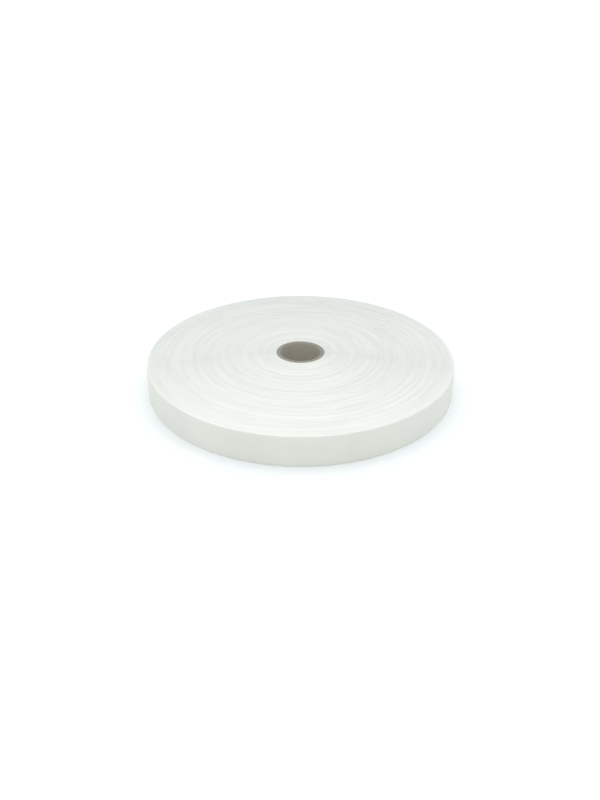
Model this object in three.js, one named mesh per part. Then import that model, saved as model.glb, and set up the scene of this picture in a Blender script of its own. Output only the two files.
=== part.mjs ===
// A roll of white strap elastic: one long strip of woven elastic, wound flat on a cardboard core.
// The roll lies on its face. The origin is on the core's axis at the roll's base, +Z is up, sizes are in millimetres.
import * as THREE from "three";
import { mergeVertices } from "three/addons/utils/BufferGeometryUtils.js";

// The strip and its winding
const STRIP_WIDTH = 25.4;
const STRIP_THICKNESS = 1.055;
const TURNS = 100;

// The cardboard core
const CORE_INNER_RADIUS = 16.5;
const CORE_WALL = 3;
const CORE_PROUD = 0.2;
const CORE_RIM_CHAMFER = 0.4;
const CORE_SEGMENTS = 72;

// The winding's overall form
const SEAT_GAP = 0.3;
const CORE_RADIUS = CORE_INNER_RADIUS + CORE_WALL;
const BORE_RADIUS = CORE_RADIUS + SEAT_GAP;
const OUTER_RADIUS = CORE_RADIUS + TURNS * STRIP_THICKNESS;
const HUB_LIFT = 2.3;
const LEVEL_RADIUS = 84;

// The spiral bands that show on the upper face: each is a few turns that stand a little proud
const ANGLE_STEPS = 72;
const BAND_PITCH = 5.58;
const BAND_DEPTH = 0.45;
const BAND_SHAPE = [
  { across: 0, depth: 1 },
  { across: 1 / 3, depth: 0.1 },
  { across: 2 / 3, depth: 0 },
];

// The outer wall is the last turn, which ends in a cut end at the back
const STRIP_END_DEG = 105;
const SHOULDER_LAND = 4.2;
const SHOULDER = [
  { inward: 2.6, down: 0.12 },
  { inward: 1.1, down: 0.5 },
  { inward: 0.35, down: 1.2 },
  { inward: 0, down: 3 },
];
const UNDERSIDE_CHAMFER = 0.4;
const UNDERSIDE_RINGS = 5;

const COLOURS = { elastic: 0xeff2ec, cardboard: 0xa39d90 };

function smoothStep(share) {
  const t = Math.min(1, Math.max(0, share));
  return t * t * (3 - 2 * t);
}

// How far the turns at this radius have slipped upwards: the winding is faintly coned towards its core.
function lift(radius) {
  return HUB_LIFT * smoothStep((LEVEL_RADIUS - radius) / (LEVEL_RADIUS - BORE_RADIUS));
}

// The radius of the last turn's outside grows by one thickness along its length, from the cut end and back to it.
function wallRadius(step) {
  return OUTER_RADIUS - STRIP_THICKNESS * (1 - step / ANGLE_STEPS);
}

// Builds one closed surface from points that are looked up by name, so that shared points are shared corners.
class SurfaceBuilder {
  constructor() {
    this.positions = [];
    this.faces = [];
  }

  point(radius, step, z) {
    const angle = THREE.MathUtils.degToRad(STRIP_END_DEG) + (2 * Math.PI * step) / ANGLE_STEPS;
    this.positions.push(radius * Math.cos(angle), radius * Math.sin(angle), z);
    return this.positions.length / 3 - 1;
  }

  triangle(a, b, c) {
    if (a !== b && b !== c && c !== a) this.faces.push(a, b, c);
  }

  quad(a, b, c, d) {
    this.triangle(a, b, c);
    this.triangle(a, c, d);
  }

  // Joins two rows of points, one for each angle step. The face looks to the left of the way from row a to row b.
  strip(rowA, rowB) {
    for (let j = 0; j < ANGLE_STEPS; j++) this.quad(rowA[j], rowB[j], rowB[j + 1], rowA[j + 1]);
  }

  geometry() {
    const made = new THREE.BufferGeometry();
    made.setAttribute("position", new THREE.Float32BufferAttribute(this.positions, 3));
    made.setIndex(this.faces);
    return made;
  }
}

// A full circle of points: its last point is its first.
function closedRow(surface, radius, z) {
  const row = [];
  for (let j = 0; j < ANGLE_STEPS; j++) row.push(surface.point(radius, j, z));
  return [...row, row[0]];
}

// The upper face: spiral bands between the bore's edge and the land inside the outer wall.
// Each line of the bands climbs by one band pitch in a turn, so it ends where the next band's line begins.
function bandedFace(surface, boreEdge, landEdge, landRadius) {
  const linesPerBand = BAND_SHAPE.length;
  const bands = Math.ceil((landRadius - BORE_RADIUS) / BAND_PITCH) + 1;
  const firstLine = -linesPerBand;
  const lines = new Map();
  const pointOn = (line, step) => {
    if (step === ANGLE_STEPS) return pointOn(line + linesPerBand, 0);
    const key = line * ANGLE_STEPS + step;
    if (lines.has(key)) return lines.get(key);
    const shape = BAND_SHAPE[((line % linesPerBand) + linesPerBand) % linesPerBand];
    const band = Math.floor(line / linesPerBand);
    const radius = BORE_RADIUS + BAND_PITCH * (band + shape.across + step / ANGLE_STEPS);
    let index;
    if (radius <= BORE_RADIUS + 1e-6) index = boreEdge[step];
    else if (radius >= landRadius - 1e-6) index = landEdge[step];
    else index = surface.point(radius, step, STRIP_WIDTH + lift(radius) - BAND_DEPTH * shape.depth);
    lines.set(key, index);
    return index;
  };
  for (let line = firstLine; line < bands * linesPerBand; line++) {
    for (let j = 0; j < ANGLE_STEPS; j++) {
      surface.quad(pointOn(line, j), pointOn(line + 1, j), pointOn(line + 1, j + 1), pointOn(line, j + 1));
    }
  }
}

// The underside is level where the roll rests and rises with the coning towards the core.
function undersideRows(surface, boreRow, landRadius) {
  const rows = [boreRow];
  for (let k = 1; k <= UNDERSIDE_RINGS; k++) {
    const radius = BORE_RADIUS + ((LEVEL_RADIUS - BORE_RADIUS) * k) / UNDERSIDE_RINGS;
    rows.push(closedRow(surface, radius, lift(radius)));
  }
  rows.push(closedRow(surface, landRadius, 0));
  return rows;
}

// The outer wall from the upper land, over the rounded selvedge and down to the lower land.
// Its rows are open: the last turn's radius steps by one thickness at the cut end.
function wallRows(surface) {
  const outline = [
    ...SHOULDER.map(({ inward, down }) => ({ inward, z: STRIP_WIDTH - down })),
    { inward: 0, z: UNDERSIDE_CHAMFER },
    { inward: UNDERSIDE_CHAMFER, z: 0 },
  ];
  return outline.map(({ inward, z }) => {
    const row = [];
    for (let j = 0; j <= ANGLE_STEPS; j++) row.push(surface.point(wallRadius(j) - inward, j, z));
    return row;
  });
}

// The strip's cut end: a flat face one thickness wide between the wall's first and last points.
function cutEnd(surface, rows) {
  for (let i = 0; i + 1 < rows.length; i++) {
    surface.quad(rows[i][0], rows[i][ANGLE_STEPS], rows[i + 1][ANGLE_STEPS], rows[i + 1][0]);
  }
}

function windingGeometry() {
  const surface = new SurfaceBuilder();
  const landRadius = OUTER_RADIUS - SHOULDER_LAND - STRIP_THICKNESS;
  const boreTop = closedRow(surface, BORE_RADIUS, STRIP_WIDTH + HUB_LIFT);
  const boreFoot = closedRow(surface, BORE_RADIUS, HUB_LIFT);
  const upperLand = closedRow(surface, landRadius, STRIP_WIDTH);
  bandedFace(surface, boreTop, upperLand, landRadius);

  const underside = undersideRows(surface, boreFoot, landRadius);
  for (let k = 0; k + 1 < underside.length; k++) surface.strip(underside[k + 1], underside[k]);
  surface.strip(boreFoot, boreTop);

  const lowerLand = underside[underside.length - 1];
  const wall = [upperLand, ...wallRows(surface), lowerLand];
  for (let k = 0; k + 1 < wall.length; k++) surface.strip(wall[k], wall[k + 1]);
  cutEnd(surface, wall);
  return mergeVertices(surface.geometry());
}

function elasticWinding() {
  const material = new THREE.MeshStandardMaterial({
    color: COLOURS.elastic,
    roughness: 0.9,
    metalness: 0,
    flatShading: true,
  });
  const mesh = new THREE.Mesh(windingGeometry(), material);
  mesh.name = "elastic_winding";
  return mesh;
}

function cardboardCore() {
  const foot = HUB_LIFT - CORE_PROUD;
  const top = STRIP_WIDTH + HUB_LIFT + CORE_PROUD;
  const profile = [
    [CORE_INNER_RADIUS, foot + CORE_RIM_CHAMFER],
    [CORE_INNER_RADIUS + CORE_RIM_CHAMFER, foot],
    [CORE_RADIUS - CORE_RIM_CHAMFER, foot],
    [CORE_RADIUS, foot + CORE_RIM_CHAMFER],
    [CORE_RADIUS, top - CORE_RIM_CHAMFER],
    [CORE_RADIUS - CORE_RIM_CHAMFER, top],
    [CORE_INNER_RADIUS + CORE_RIM_CHAMFER, top],
    [CORE_INNER_RADIUS, top - CORE_RIM_CHAMFER],
    [CORE_INNER_RADIUS, foot + CORE_RIM_CHAMFER],
  ].map(([radius, height]) => new THREE.Vector2(radius, height));
  const geometry = new THREE.LatheGeometry(profile, CORE_SEGMENTS).rotateX(Math.PI / 2);
  const material = new THREE.MeshStandardMaterial({
    color: COLOURS.cardboard,
    roughness: 0.95,
    metalness: 0,
  });
  const mesh = new THREE.Mesh(geometry, material);
  mesh.name = "core_tube";
  return mesh;
}

const roll = new THREE.Group();
roll.name = "strap_elastic_roll";
roll.add(elasticWinding());
roll.add(cardboardCore());

export default roll;
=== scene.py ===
import math

import bpy
import numpy as np
from mathutils import Matrix, Vector


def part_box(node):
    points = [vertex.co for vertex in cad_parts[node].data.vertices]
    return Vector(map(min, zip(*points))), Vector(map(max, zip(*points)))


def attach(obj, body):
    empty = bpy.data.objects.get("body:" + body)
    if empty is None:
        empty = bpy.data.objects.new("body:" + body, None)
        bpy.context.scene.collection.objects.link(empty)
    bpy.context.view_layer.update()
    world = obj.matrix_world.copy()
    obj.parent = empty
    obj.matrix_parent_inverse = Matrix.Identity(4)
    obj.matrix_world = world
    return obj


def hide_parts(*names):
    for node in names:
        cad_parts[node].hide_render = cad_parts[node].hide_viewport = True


# A roll of white strap elastic on its cardboard core.
# Everything is in metres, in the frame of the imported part.
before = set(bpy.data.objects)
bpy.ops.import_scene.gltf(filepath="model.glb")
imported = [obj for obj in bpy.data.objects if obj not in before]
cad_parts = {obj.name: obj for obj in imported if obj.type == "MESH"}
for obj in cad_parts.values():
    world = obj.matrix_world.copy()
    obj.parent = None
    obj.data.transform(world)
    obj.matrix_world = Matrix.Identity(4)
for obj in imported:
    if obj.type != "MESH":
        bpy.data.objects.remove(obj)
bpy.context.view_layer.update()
MM = 0.001
FULL_TURN = 2 * math.pi

# The core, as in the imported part
CORE_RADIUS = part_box("core_tube")[1].x
CORE_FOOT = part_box("core_tube")[0].z
CORE_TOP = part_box("core_tube")[1].z
CORE_WALL = 3 * MM
CORE_INNER_RADIUS = CORE_RADIUS - CORE_WALL

# The strip and its winding. The strip is a little thinner than a turn's pitch, so its turns lie just apart.
STRIP_WIDTH = 25.4 * MM
STRIP_THICKNESS = 1.0 * MM
FIRST_TURN_GAP = 0.06 * MM
OUTER_RADIUS = 125 * MM
TURNS = 99
TURN_PITCH = (OUTER_RADIUS - CORE_RADIUS - FIRST_TURN_GAP) / (TURNS + 1)
STRIP_END_TURN = 105 / 360
OUTER_PIECE_FROM = TURNS - 1.01
CHORD_SAG = 0.03 * MM

# The turns near the core have slipped upwards, which makes the face a shallow cone
HUB_LIFT = 2.3 * MM
HUB_RADIUS = 19.8 * MM
LEVEL_RADIUS = 84 * MM

# The first turns hug the core, and step over the strip's start in the last part of each turn
HUG_TURNS = 8
STEP_OVER_FROM = 0.92

# Turns that have sunk a little, which show as faint rings.
# Each is counted from the core, with its depth in millimetres.
SUNK_TURNS = (
    {"turn": 4.6, "depth": 0.12},
    {"turn": 10.3, "depth": 0.13},
    {"turn": 15.8, "depth": 0.22},
    {"turn": 20.8, "depth": 0.14},
    {"turn": 25.8, "depth": 0.17},
    {"turn": 30.6, "depth": 0.26},
    {"turn": 36.4, "depth": 0.24},
    {"turn": 41.6, "depth": 0.27},
    {"turn": 46.9, "depth": 0.24},
    {"turn": 52.2, "depth": 0.27},
    {"turn": 56.5, "depth": 0.24},
    {"turn": 62.7, "depth": 0.27},
    {"turn": 68.4, "depth": 0.24},
    {"turn": 73.7, "depth": 0.26},
    {"turn": 78.9, "depth": 0.23},
    {"turn": 84.2, "depth": 0.24},
    {"turn": 90.0, "depth": 0.20},
)
SUNK_WIDTH_TURNS = 0.9

# The sunk turns lie deeper by this share on one side of the roll
SUNK_SIDE_SHARE = 0.25
SUNK_SIDE_DEG = -20

# The slight wander of the strip's edges.
# Here and below, a wave has its height in millimetres, and its count is for one turn.
EDGE_WANDER = (
    {"height": 0.035, "count": 1 / 2.13, "phase": 1.0},
    {"height": 0.030, "count": 1 / 3.37, "phase": 2.2},
    {"height": 0.020, "count": 1 / 1.31, "phase": 0.4},
)

# The last turns droop a little and lean in at their upper edge
RIM_TURNS = 2.5
RIM_DROOP = 0.35 * MM
RIM_LEAN = 0.3 * MM
LEAN_FROM = 21 * MM

# The last turn's faint dents
WALL_DENTS = (
    {"height": 0.05, "count": 5, "phase": 0.8},
    {"height": 0.035, "count": 11, "phase": 2.1, "slant": 2.5},
)

# The strip's sections in millimetres, each point as (outwards from the strip's middle plane, upwards).
# TURN_TOP is measured up from the strip's upper edge, and the others from its lower edge.
# Each section runs over its top to the outer side and back under its foot.
TURN_TOP = ((-0.5, -0.13), (-0.32, -0.03), (0.0, 0.0), (0.32, -0.03), (0.5, -0.13))
TURN_FOOT = ((0.5, 0.42), (0.0, 0.0), (-0.5, 0.42))
OUTER_TURN_SECTION = (
    (-0.50, 24.80),
    (-0.44, 25.15),
    (-0.32, 25.32),
    (-0.10, 25.32),
    (0.13, 25.12),
    (0.30, 24.75),
    (0.40, 24.20),
    (0.46, 23.50),
    (0.49, 22.60),
    (0.50, 21.40),
    (0.50, 20.00),
    (0.50, 17.00),
    (0.50, 12.00),
    (0.50, 7.00),
    (0.50, 2.60),
    (0.49, 1.10),
    (0.43, 0.40),
    (0.28, 0.08),
    (0.00, 0.00),
    (-0.30, 0.12),
    (-0.50, 0.60),
    (-0.50, 12.70),
)


def smooth_step(share):
    """Goes from 0 to 1 as share does, with soft ends."""
    share = np.clip(share, 0, 1)
    return share * share * (3 - 2 * share)


def ripple(waves, angle, share=0.0):
    """A sum of waves in metres, at an angle round the roll. A slanted wave shifts as share grows."""
    total = 0.0
    for wave in waves:
        phase = wave["phase"] + wave.get("slant", 0.0) * share
        total = total + wave["height"] * MM * np.sin(wave["count"] * angle + phase)
    return total


def turn_angle(turn):
    """The angle in radians round the roll at a place on the strip, counted in turns from the core."""
    return FULL_TURN * (turn - TURNS + STRIP_END_TURN)


def middle_radius(turn):
    """The radius of the strip's middle plane at a place along it, counted in turns from the core."""
    part = turn - np.floor(turn)
    hug = np.clip(1 - turn / HUG_TURNS, 0, 1)
    stepped = smooth_step((part - STEP_OVER_FROM) / (1 - STEP_OVER_FROM))
    return CORE_RADIUS + FIRST_TURN_GAP + TURN_PITCH * (turn + 0.5 + hug * (stepped - part))


def rim_share(turn):
    """How far a place is into the roll's soft outer rim: 0 inside it, 1 at the strip's end."""
    return np.clip((turn - TURNS + RIM_TURNS) / RIM_TURNS, 0, 1)


def rim_lean(turn, height):
    """How far the upper part of an outer turn leans in, at a height over its lower edge."""
    above = np.clip((height - LEAN_FROM) / (STRIP_WIDTH - LEAN_FROM), 0, 1)
    return RIM_LEAN * rim_share(turn) * above**2


def edge_shift(turn):
    """How far up the strip lies at a place along it, from its cone, sunk turns, wander and droop."""
    radius = middle_radius(turn)
    cone = HUB_LIFT * smooth_step((LEVEL_RADIUS - radius) / (LEVEL_RADIUS - HUB_RADIUS))
    side = 1 + SUNK_SIDE_SHARE * np.cos(turn_angle(turn) - math.radians(SUNK_SIDE_DEG))
    sunk = 0.0
    for ring in SUNK_TURNS:
        reach = (turn - ring["turn"]) / SUNK_WIDTH_TURNS
        sunk = sunk + ring["depth"] * MM * side * np.exp(-reach * reach)
    return cone - sunk + ripple(EDGE_WANDER, FULL_TURN * turn) - RIM_DROOP * rim_share(turn) ** 2


def on_width(across, height):
    """Where a point of a section is on the strip's width: past either edge, the way goes over the edge."""
    over_edge = STRIP_THICKNESS / 2 - np.abs(across)
    return height + over_edge * np.sign(height - STRIP_WIDTH / 2)


def turn_section(turns):
    """The section of a turn inside the roll, with rounded selvedges. Its foot never sinks into the floor."""
    shift = edge_shift(turns)[:, None]
    top = np.array(TURN_TOP) * MM
    foot = np.array(TURN_FOOT) * MM
    across = np.concatenate([top[:, 0], foot[:, 0]])
    unshifted = np.concatenate([STRIP_WIDTH + top[:, 1], foot[:, 1]])
    heights = np.concatenate([STRIP_WIDTH + shift + top[:, 1], np.maximum(shift, 0) + foot[:, 1]], axis=1)
    return across - rim_lean(turns[:, None], unshifted), heights, on_width(across, unshifted)


def outer_section(turns):
    """The section of the last turn, with softly rounded shoulders and faint dents round its wall."""
    across, unshifted = np.array(OUTER_TURN_SECTION).T * MM
    share = unshifted / STRIP_WIDTH
    heights = np.maximum(unshifted + edge_shift(turns)[:, None] * share, 0)
    on_outer_side = across > 0
    dents = ripple(WALL_DENTS, turn_angle(turns)[:, None], share) * np.sin(math.pi * share) * on_outer_side
    return across + dents - rim_lean(turns[:, None], unshifted), heights, on_width(across, unshifted)


def turn_steps(first, last):
    """Places along the strip, close enough that each chord sags by no more than CHORD_SAG."""
    steps = [first]
    while steps[-1] < last:
        radius = middle_radius(steps[-1])
        steps.append(steps[-1] + math.acos(1 - CHORD_SAG / radius) / math.pi)
    steps[-1] = last
    return np.array(steps)


def round_points(radius, angle, height):
    """Points from their radius, their angle round the core's axis and their height, as one list."""
    places = np.stack([radius * np.cos(angle), radius * np.sin(angle), height], axis=-1)
    return places.reshape(-1, 3).tolist()


def tube_faces(sections, points, joined):
    """The faces between sections that follow each other. If joined is true, the last meets the first."""
    section = np.arange(sections if joined else sections - 1)[:, None] * points
    next_section = (section + points) % (sections * points)
    point = np.arange(points)[None, :]
    next_point = (point + 1) % points
    corners = [section + point, section + next_point, next_section + next_point, next_section + point]
    return np.stack(corners, axis=-1).reshape(-1, 4).tolist()


def add_object(name, vertices, faces, smooth=True):
    """A new mesh object in the scene."""
    mesh = bpy.data.meshes.new(name)
    mesh.from_pydata(vertices, [], faces)
    mesh.polygons.foreach_set("use_smooth", [smooth] * len(mesh.polygons))
    mesh.update()
    made = bpy.data.objects.new(name, mesh)
    bpy.context.scene.collection.objects.link(made)
    return made


def weave_map(mesh, turns, width_at):
    """A map in metres: along the strip, and over its width and its edges."""
    step_radius = middle_radius((turns[1:] + turns[:-1]) / 2)
    lengths = np.concatenate([[0], np.cumsum(np.diff(turns) * FULL_TURN * step_radius)])
    along = np.repeat(lengths, width_at.size)
    up = np.tile(width_at, len(turns))
    corners = np.empty(len(mesh.loops), np.int64)
    mesh.loops.foreach_get("vertex_index", corners)
    layer = mesh.uv_layers.new(name="weave")
    layer.data.foreach_set("uv", np.stack([along[corners], up[corners]], axis=-1).ravel())


def wound_strip(name, first, last, section_at):
    """A closed strip along the winding, from its first to its last place in turns.

    For each place, section_at gives how far the section's points are from the strip's middle plane, how high
    they are, and where they are on the strip's own width.
    """
    turns = turn_steps(first, last)
    across, height, width_at = section_at(turns)
    sections, points = across.shape
    vertices = round_points(middle_radius(turns)[:, None] + across, turn_angle(turns)[:, None], height)
    start_cap = list(range(points))[::-1]
    end_cap = [(sections - 1) * points + i for i in range(points)]
    made = add_object(name, vertices, tube_faces(sections, points, joined=False) + [start_cap, end_cap])
    weave_map(made.data, turns, width_at)
    return made


# The core's mesh
CORE_COLUMNS = 288
CORE_WALL_ROWS = 30
CORE_TOP_ROWS = 4
CORE_FOOT_ROWS = 2
CORE_EDGE = 0.25 * MM

# A rounded edge of the core, each point as shares of CORE_EDGE: (away from the wall, away from the rim)
ROUNDED_EDGE = ((0.10, 0.75), (0.35, 0.35), (0.75, 0.10))

# The core's upper rim is cut slightly uneven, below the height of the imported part
CORE_RIM_DROP = 0.1 * MM
CORE_RIM_WAVES = (
    {"height": 0.05, "count": 3, "phase": 1.0},
    {"height": 0.03, "count": 8, "phase": 0.3},
    {"height": 0.02, "count": 19, "phase": 0.0},
)

# The butt seam of the innermost ply climbs the bore as a shallow groove
SEAM_WIDTH = 0.5 * MM
SEAM_DEPTH = 0.18 * MM
SEAM_RISE_PER_TURN = 95 * MM
SEAM_START_DEG = 35


def rounded_edge(wall, outwards, rim, upwards):
    """A rounded edge of the core, from its wall to its rim. The two directions are 1 or -1."""
    return [(wall + outwards * CORE_EDGE * out, rim + upwards * CORE_EDGE * up) for out, up in ROUNDED_EDGE]


def core_profile():
    """The core's section as radii and heights, up its inner wall first and then round it."""
    inner, outer = CORE_INNER_RADIUS, CORE_RADIUS
    low, high = CORE_FOOT + CORE_EDGE, CORE_TOP - CORE_EDGE
    near, far = inner + CORE_EDGE, outer - CORE_EDGE
    profile = [(inner, height) for height in np.linspace(low, high, CORE_WALL_ROWS + 1)]
    profile += rounded_edge(inner, 1, CORE_TOP, -1)
    profile += [(radius, CORE_TOP) for radius in np.linspace(near, far, CORE_TOP_ROWS + 1)]
    profile += rounded_edge(outer, -1, CORE_TOP, -1)[::-1]
    profile += [(outer, high), (outer, low)]
    profile += rounded_edge(outer, -1, CORE_FOOT, 1)
    profile += [(radius, CORE_FOOT) for radius in np.linspace(far, near, CORE_FOOT_ROWS + 1)]
    profile += rounded_edge(inner, 1, CORE_FOOT, 1)[::-1]
    return np.array(profile).T


def seam_groove(radius, height, angles):
    """How deep the butt seam is at each point of the core. Only the inner wall has it."""
    seam_angle = math.radians(SEAM_START_DEG) + FULL_TURN * (height - CORE_FOOT) / SEAM_RISE_PER_TURN
    away = (angles - seam_angle + math.pi) % FULL_TURN - math.pi
    slope = SEAM_RISE_PER_TURN / math.hypot(SEAM_RISE_PER_TURN, FULL_TURN * CORE_RADIUS)
    distance = away * CORE_RADIUS * slope
    return SEAM_DEPTH * np.exp(-((distance / SEAM_WIDTH) ** 2)) * np.isclose(radius, CORE_INNER_RADIUS)


def cardboard_core():
    """The core: a spirally wound tube with soft cut rims and a butt seam in its bore."""
    radius, height = core_profile()
    angles = FULL_TURN * np.arange(CORE_COLUMNS)[:, None] / CORE_COLUMNS
    near_top = np.clip((height - CORE_TOP + 2 * CORE_EDGE) / (2 * CORE_EDGE), 0, 1)
    radii = radius + seam_groove(radius, height, angles)
    heights = height + (ripple(CORE_RIM_WAVES, angles) - CORE_RIM_DROP) * near_top
    faces = tube_faces(CORE_COLUMNS, radius.size, joined=True)
    return add_object("cardboard_core", round_points(radii, angles, heights), faces)


class Nodes:
    """Short ways to add and join the nodes of a node tree."""

    def __init__(self, tree):
        self.tree = tree

    def find(self, kind):
        return next(node for node in self.tree.nodes if node.type == kind)

    def feed(self, node, inputs):
        """Feeds a node's inputs, by name or number, with numbers, colours or other nodes' outputs."""
        for name, value in inputs.items():
            if isinstance(value, bpy.types.NodeSocket):
                self.tree.links.new(value, node.inputs[name])
            else:
                node.inputs[name].default_value = value

    def add(self, kind, inputs, **settings):
        node = self.tree.nodes.new(kind)
        for name, value in settings.items():
            setattr(node, name, value)
        self.feed(node, inputs)
        return node

    def math(self, operation, *values):
        return self.add("ShaderNodeMath", dict(enumerate(values)), operation=operation).outputs[0]

    def product(self, *factors):
        """All the factors multiplied together."""
        result = factors[0]
        for factor in factors[1:]:
            result = self.math("MULTIPLY", result, factor)
        return result

    def wave(self, position, pitch, phase=0.0):
        """A smooth wave from 0 to 1 along a position in metres."""
        angle = self.math("MULTIPLY_ADD", position, FULL_TURN / pitch, phase)
        return self.math("MULTIPLY_ADD", self.math("SINE", angle), 0.5, 0.5)

    def noise(self, vector, scale=1.0, detail=2.0, roughness=0.5):
        inputs = {"Vector": vector, "Scale": scale, "Detail": detail, "Roughness": roughness}
        return self.add("ShaderNodeTexNoise", inputs).outputs["Fac"]

    def spread(self, value, low, high):
        """Maps 0..1 to low..high."""
        return self.math("MULTIPLY_ADD", value, high - low, low)

    def stepped(self, value, low, high):
        """A smooth step from 0 to 1 as value goes from low to high."""
        inputs = {"Value": value, "From Min": low, "From Max": high}
        return self.add("ShaderNodeMapRange", inputs, interpolation_type="SMOOTHSTEP").outputs["Result"]

    def mixed(self, share, first, second):
        inputs = {"Factor": share, "A": first, "B": second}
        return self.add("ShaderNodeMix", inputs, data_type="VECTOR").outputs["Result"]

    def tinted(self, colour, brightness):
        """A colour times a brightness near 1."""
        inputs = {0: colour, "Scale": brightness}
        return self.add("ShaderNodeVectorMath", inputs, operation="SCALE").outputs[0]

    def scaled(self, vector, factors):
        return self.add("ShaderNodeVectorMath", {0: vector, 1: factors}, operation="MULTIPLY").outputs[0]

    def split(self, vector):
        return self.add("ShaderNodeSeparateXYZ", {0: vector}).outputs

    def distance(self, x, y):
        """The distance from the core's axis."""
        squares = self.math("ADD", self.math("MULTIPLY", x, x), self.math("MULTIPLY", y, y))
        return self.math("SQRT", squares)

    def ring_place(self, position, across, round_about):
        """A noise vector that changes fast with the radius and slowly along each ring."""
        x, y = self.split(position)[:2]
        parts = (
            self.math("MULTIPLY", self.distance(x, y), across),
            self.math("MULTIPLY", x, round_about),
            self.math("MULTIPLY", y, round_about),
        )
        return self.add("ShaderNodeCombineXYZ", dict(enumerate(parts))).outputs[0]

    def bump(self, height, distance, normal=None):
        """The normal of a relief, which may lie on another relief's normal."""
        inputs = {"Height": height, "Distance": distance}
        if normal is not None:
            inputs["Normal"] = normal
        return self.add("ShaderNodeBump", inputs).outputs["Normal"]


def new_material(name):
    """A material, the short ways to its nodes, and its shader."""
    material = bpy.data.materials.new(name)
    material.use_nodes = True
    n = Nodes(material.node_tree)
    return material, n, n.find("BSDF_PRINCIPLED")


# The elastic's colours: its selvedges are paler than its face, partly their yarn's own colour and partly
# painted light that makes the roll's top lighter than its wall and paints a highlight on the outer shoulder
FACE_ALBEDO = (0.693, 0.701, 0.655)
SELVEDGE_ALBEDO_WITH_PAINTED_LIGHT = (0.830, 0.845, 0.815)
SELVEDGE_STARTS = 0.9 * MM
SELVEDGE_FULL = 0.1 * MM

# The weave, and how much of its relief the cords and the picks make
CORD_PITCH = 0.9 * MM
PICK_PITCH = 0.62 * MM
CORD_SHARE = 0.6
PICK_SHARE = 0.4
WEAVE_RELIEF = 0.05 * MM
YARN_RELIEF = 0.03 * MM

# The elastic's changes of tone: its noises' scales per metre, and each change's darkest and palest tone
YARN_NOISE = {"scale": 900.0, "detail": 3.0, "roughness": 0.6}
CLOUD_NOISE = {"scale": 38.0, "detail": 3.0, "roughness": 0.55}
LENGTHWISE_SCALES = (6, 260, 1)
RING_SCALE = 290.0
RING_ARC_SCALE = 16.0
RING_ROUGHNESS = 0.55
CLOUD_TONE = (0.985, 1.015)
# The rings' tone is painted shade: faint rings round the roll, darker and paler at random, in place of the
# shade between the turns
PAINTED_RING_SHADE_TONE = (0.90, 1.10)
LENGTHWISE_TONE = (0.99, 1.01)
# The weave's tone is painted shade: darker in the hollows between the cords and the picks
WEAVE_GROOVE_SHADE_TONE = (0.965, 1.02)
YARN_TONE = (0.985, 1.015)
YARN_ROUGHNESS = (0.82, 0.95)


def elastic_material():
    """White woven elastic: covered cords run along the strip, and fine picks cross them, alternating."""
    material, n, shader = new_material("white_woven_elastic")
    along_up = n.add("ShaderNodeUVMap", {}, uv_map="weave").outputs["UV"]
    along, up = n.split(along_up)[:2]
    cord_row = n.math("FLOOR", n.math("DIVIDE", up, CORD_PITCH))
    every_other = n.math("MULTIPLY", n.math("MODULO", cord_row, 2.0), math.pi)
    cords = n.math("MULTIPLY", n.wave(up, CORD_PITCH), CORD_SHARE)
    picks = n.math("MULTIPLY", n.wave(along, PICK_PITCH, every_other), PICK_SHARE)
    weave = n.math("ADD", cords, picks)
    yarn = n.noise(along_up, **YARN_NOISE)

    position = n.add("ShaderNodeTexCoord", {}).outputs["Object"]
    clouds = n.noise(position, **CLOUD_NOISE)
    # Painted shade: rings of tone round the roll that stand in for the shade between the turns
    painted_ring_shade = n.noise(n.ring_place(position, RING_SCALE, RING_ARC_SCALE), roughness=RING_ROUGHNESS)
    lengthwise = n.noise(n.scaled(along_up, LENGTHWISE_SCALES))
    tone = n.product(
        n.spread(clouds, *CLOUD_TONE),
        n.spread(painted_ring_shade, *PAINTED_RING_SHADE_TONE),
        n.spread(lengthwise, *LENGTHWISE_TONE),
        # Painted shade in the weave's hollows
        n.spread(weave, *WEAVE_GROOVE_SHADE_TONE),
        n.spread(yarn, *YARN_TONE),
    )

    # The selvedges' paler colour is partly painted light: a top paler than the wall, and a painted highlight
    # on the outer shoulder
    half_width = STRIP_WIDTH / 2
    from_middle = n.math("ABSOLUTE", n.math("SUBTRACT", up, half_width))
    selvedge_and_painted_light = n.stepped(from_middle, half_width - SELVEDGE_STARTS, half_width - SELVEDGE_FULL)
    colour = n.tinted(n.mixed(selvedge_and_painted_light, FACE_ALBEDO, SELVEDGE_ALBEDO_WITH_PAINTED_LIGHT), tone)
    inputs = {
        "Base Color": colour,
        "Normal": n.bump(yarn, YARN_RELIEF, n.bump(weave, WEAVE_RELIEF)),
        "Roughness": n.spread(yarn, *YARN_ROUGHNESS),
        "Specular IOR Level": 0.25,
        "Sheen Weight": 0.12,
        "Sheen Roughness": 0.5,
    }
    n.feed(shader, inputs)
    return material


# The core board's colour, its plies on the cut rims, and its paper
CARDBOARD_ALBEDO = (0.388, 0.371, 0.320)
PLY_THICKNESS = 0.5 * MM
PLY_SHADE = (0.12, 0.24)
FIBRE_STRETCH = (1, 1, 3.5)
FIBRE_NOISE = {"scale": 700.0, "detail": 4.0, "roughness": 0.65}
PATCH_STRETCH = (1, 1, 0.5)
PATCH_NOISE = {"scale": 110.0}
SPECK_NOISE = {"scale": 1500.0, "detail": 1.0}
FIBRE_TONE = (0.84, 1.16)
PATCH_TONE = (0.92, 1.08)
SPECK_TONE = (0.94, 1.06)
FIBRE_RELIEF = 0.12 * MM
FIBRE_ROUGHNESS = (0.85, 1.0)


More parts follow.
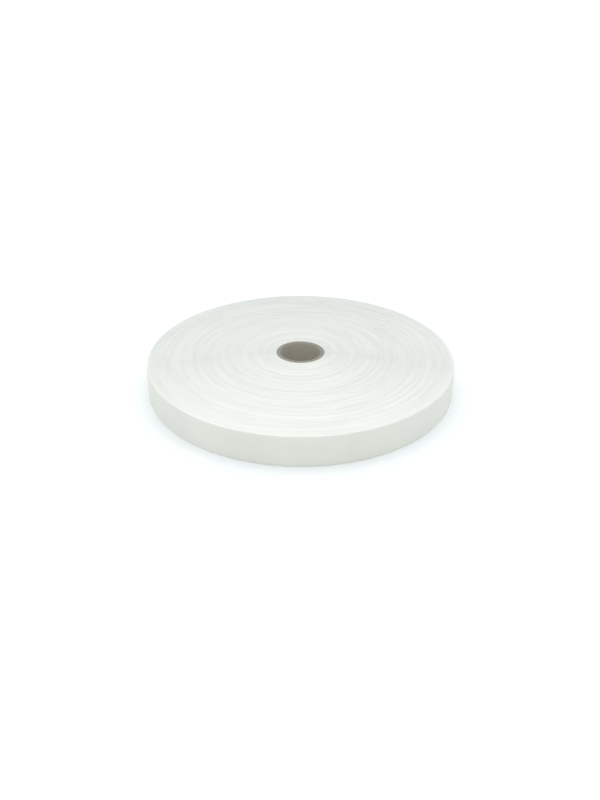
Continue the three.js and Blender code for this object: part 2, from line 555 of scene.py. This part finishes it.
def cardboard_material():
    """Grey-beige core board: long paper fibres round the tube, specks, and the plies' edges on its rims."""
    material, n, shader = new_material("grey_core_board")
    position = n.add("ShaderNodeTexCoord", {}).outputs["Object"]
    x, y = n.split(position)[:2]
    on_rims = n.math("ABSOLUTE", n.split(n.add("ShaderNodeNewGeometry", {}).outputs["Normal"])[2])
    plies = n.wave(n.distance(x, y), PLY_THICKNESS)
    ply_shade = n.math("MULTIPLY", n.spread(plies, *PLY_SHADE), on_rims)
    fibres = n.noise(n.scaled(position, FIBRE_STRETCH), **FIBRE_NOISE)
    patches = n.noise(n.scaled(position, PATCH_STRETCH), **PATCH_NOISE)
    specks = n.noise(position, **SPECK_NOISE)
    tone = n.product(
        n.spread(fibres, *FIBRE_TONE),
        n.spread(patches, *PATCH_TONE),
        n.spread(specks, *SPECK_TONE),
        n.math("SUBTRACT", 1.0, ply_shade),
    )
    inputs = {
        "Base Color": n.tinted(CARDBOARD_ALBEDO, tone),
        "Normal": n.bump(fibres, FIBRE_RELIEF),
        "Roughness": n.spread(fibres, *FIBRE_ROUGHNESS),
        "Specular IOR Level": 0.2,
    }
    n.feed(shader, inputs)
    return material


def faces_out(obj):
    """Turns a closed mesh's faces outwards if its volume is negative."""
    mesh = obj.data
    mesh.calc_loop_triangles()
    points = np.empty(len(mesh.vertices) * 3)
    mesh.vertices.foreach_get("co", points)
    corners = np.empty(len(mesh.loop_triangles) * 3, np.int64)
    mesh.loop_triangles.foreach_get("vertices", corners)
    a, b, c = points.reshape(-1, 3)[corners.reshape(-1, 3)].transpose(1, 0, 2)
    if np.einsum("ij,ij->i", a, np.cross(b, c)).sum() < 0:
        mesh.flip_normals()


def finish_piece(obj, material, node):
    """Gives a piece its material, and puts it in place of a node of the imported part."""
    obj.data.materials.append(material)
    faces_out(obj)
    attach(obj, "root")
    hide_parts(node)


# The floor and the lights
FLOOR_SIZE = 40.0
FLOOR_ALBEDO = (0.93, 0.93, 0.93, 1)
KEY_POSITION = (-0.02, -0.32, 0.42)
KEY_WIDTH = 1.2
KEY_HEIGHT = 0.3
KEY_WATTS = 2.17
KEY_COLOUR = (1.0, 0.89, 0.845)
FLOOR_FILL_STRENGTH = 1.42
FLOOR_FILL_SPREAD_DEG = 70


def pale_floor():
    """A plain matt floor under the roll."""
    half = FLOOR_SIZE / 2
    corners = [(-half, -half, 0), (half, -half, 0), (half, half, 0), (-half, half, 0)]
    floor = add_object("floor", corners, [(0, 1, 2, 3)], smooth=False)
    material, n, shader = new_material("pale_floor")
    n.feed(shader, {"Base Color": FLOOR_ALBEDO, "Roughness": 1.0, "Specular IOR Level": 0.0})
    floor.data.materials.append(material)
    return floor


def add_light(name, kind, floor, floor_state):
    """A light whose floor_state says whether it shines on the floor alone or on everything but the floor."""
    light = bpy.data.lights.new(name, kind)
    made = bpy.data.objects.new(name, light)
    bpy.context.scene.collection.objects.link(made)
    lit = bpy.data.collections.new("lit_by_" + name)
    lit.objects.link(floor)
    lit.collection_objects[0].light_linking.link_state = floor_state
    made.light_linking.receiver_collection = lit
    return made


def key_light(floor):
    """A wide soft box over the viewer's side, which looks at the roll and does not light the floor."""
    made = add_light("key", "AREA", floor, "EXCLUDE")
    made.data.shape = "RECTANGLE"
    made.data.size = KEY_WIDTH
    made.data.size_y = KEY_HEIGHT
    made.data.energy = KEY_WATTS
    made.data.color = KEY_COLOUR
    made.location = KEY_POSITION
    made.rotation_mode = "QUATERNION"
    made.rotation_quaternion = (-Vector(KEY_POSITION)).to_track_quat("-Z", "Y")


def floor_fill(floor):
    """An even light from above for the floor alone, so that the floor stays white into the distance."""
    made = add_light("floor_fill", "SUN", floor, "INCLUDE")
    made.data.energy = FLOOR_FILL_STRENGTH
    made.data.angle = math.radians(FLOOR_FILL_SPREAD_DEG)


# The surround's colours. The paler band fades out at HORIZON_REACH, the sine of the angle over the horizon.
SKY_ALL_ROUND = (0.313, 0.362, 0.367)
SKY_HORIZON = (0.53, 0.53, 0.53)
SKY_SIDES = (0.820, 0.862, 0.902)
SKY_BACK = (0.64, 0.64, 0.64)
HORIZON_REACH = 0.35


def studio_sky():
    """A pale surround that is softly brighter near the horizon, at both sides and behind the roll."""
    world = bpy.data.worlds.new("studio")
    bpy.context.scene.world = world
    world.use_nodes = True
    n = Nodes(world.node_tree)
    x, y, z = n.split(n.add("ShaderNodeTexCoord", {}).outputs["Generated"])
    rise = n.math("MAXIMUM", z, 0.0)
    low = n.math("MAXIMUM", n.math("MULTIPLY_ADD", rise, -1 / HORIZON_REACH, 1.0), 0.0)
    added = (
        (SKY_HORIZON, n.math("MULTIPLY", low, low)),
        (SKY_SIDES, n.math("MULTIPLY", x, x)),
        (SKY_BACK, n.math("MAXIMUM", y, 0.0)),
    )
    sky = SKY_ALL_ROUND
    for colour, share in added:
        inputs = {0: colour, 1: share, 2: sky}
        sky = n.add("ShaderNodeVectorMath", inputs, operation="MULTIPLY_ADD").outputs[0]
    n.feed(n.find("BACKGROUND"), {"Color": sky, "Strength": 1.0})


# The photograph's view: its focal length is in pixels, and the other lengths follow from the roll's radius
PHOTO_LONG_SIDE_PX = 800
FOCAL_PX = 809
SENSOR_WIDTH_MM = 36
NEAR_CLIP = 0.01
FAR_CLIP = 60
VIEW_ELEVATION_DEG = 30.02
VIEW_ROLL_DEG = 0.2
MEAN_RADIUS = 124.5 * MM
AIM_POINT = (-0.0016 * MEAN_RADIUS, -0.600 * MEAN_RADIUS, STRIP_WIDTH)
AIM_DISTANCE = 4.795 * MEAN_RADIUS


def photo_camera():
    """The camera at the photograph's viewing angle."""
    data = bpy.data.cameras.new("photo_view")
    data.sensor_width = SENSOR_WIDTH_MM
    data.lens = FOCAL_PX / PHOTO_LONG_SIDE_PX * SENSOR_WIDTH_MM
    data.clip_start = NEAR_CLIP
    data.clip_end = FAR_CLIP
    camera = bpy.data.objects.new("photo_view", data)
    elevation = math.radians(VIEW_ELEVATION_DEG)
    forward = Vector((0, math.cos(elevation), -math.sin(elevation)))
    roll = Matrix.Rotation(math.radians(VIEW_ROLL_DEG), 3, "Z")
    turn = forward.to_track_quat("-Z", "Y").to_matrix() @ roll
    camera.matrix_world = Matrix.Translation(Vector(AIM_POINT) - forward * AIM_DISTANCE) @ turn.to_4x4()
    bpy.context.scene.collection.objects.link(camera)
    bpy.context.scene.camera = camera


elastic = elastic_material()
board = cardboard_material()
wound_turns = wound_strip("wound_turns", 0.0, OUTER_PIECE_FROM, turn_section)
outer_turn = wound_strip("outer_turn", OUTER_PIECE_FROM, float(TURNS), outer_section)
finish_piece(wound_turns, elastic, "elastic_winding")
finish_piece(outer_turn, elastic, "elastic_winding")
finish_piece(cardboard_core(), board, "core_tube")

floor = pale_floor()
studio_sky()
key_light(floor)
floor_fill(floor)
photo_camera()
bpy.context.scene.view_settings.view_transform = "Standard"
